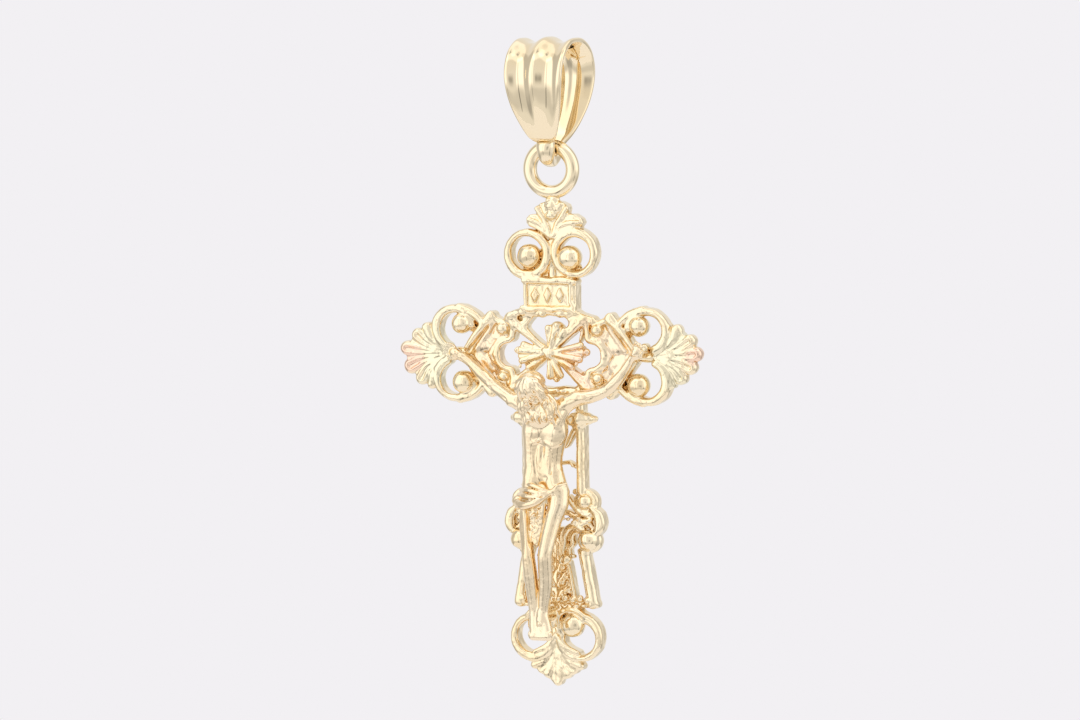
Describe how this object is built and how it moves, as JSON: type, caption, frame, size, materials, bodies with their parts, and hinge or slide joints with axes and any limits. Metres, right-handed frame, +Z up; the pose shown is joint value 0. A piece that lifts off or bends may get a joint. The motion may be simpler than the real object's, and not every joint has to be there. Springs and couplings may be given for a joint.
{
  "type": "crucifix pendant",
  "caption": "Pierced cast cross with scrolled leaf ends and a standing-proud figure, on a ring that swings in a fluted tapered bail.",
  "frame": {"origin": "inside top of the bail, midway along its width, where a chain lies", "axes": "+Z up, +X along the cross's arms to the viewer's right and along the chain's way through the bail, -Y the front with the figure"},
  "size_m": [0.0212, 0.0067, 0.042],
  "materials": {
    "polished_gold": "14k yellow gold, highly polished",
    "cast_gold": "14k yellow gold, cast and tumbled, lightly lumpy",
    "figure_gold": "14k yellow gold, cast figure with a soft polish",
    "rose_gold": "rose gold tint on leaf tips and one petal",
    "green_gold": "green gold tint on the inner leaves"
  },
  "bodies": {
    "bail": {"bail": "polished_gold"},
    "pendant": {"cross": "cast_gold", "corpus": "figure_gold"}
  },
  "joints": [
    {"name": "ring_swing", "type": "hinge", "parent": "bail", "child": "pendant", "pos_m": [0, 0, -0.0063], "axis": [1, 0, 0], "range_deg": [-75, 75]}
  ]
}
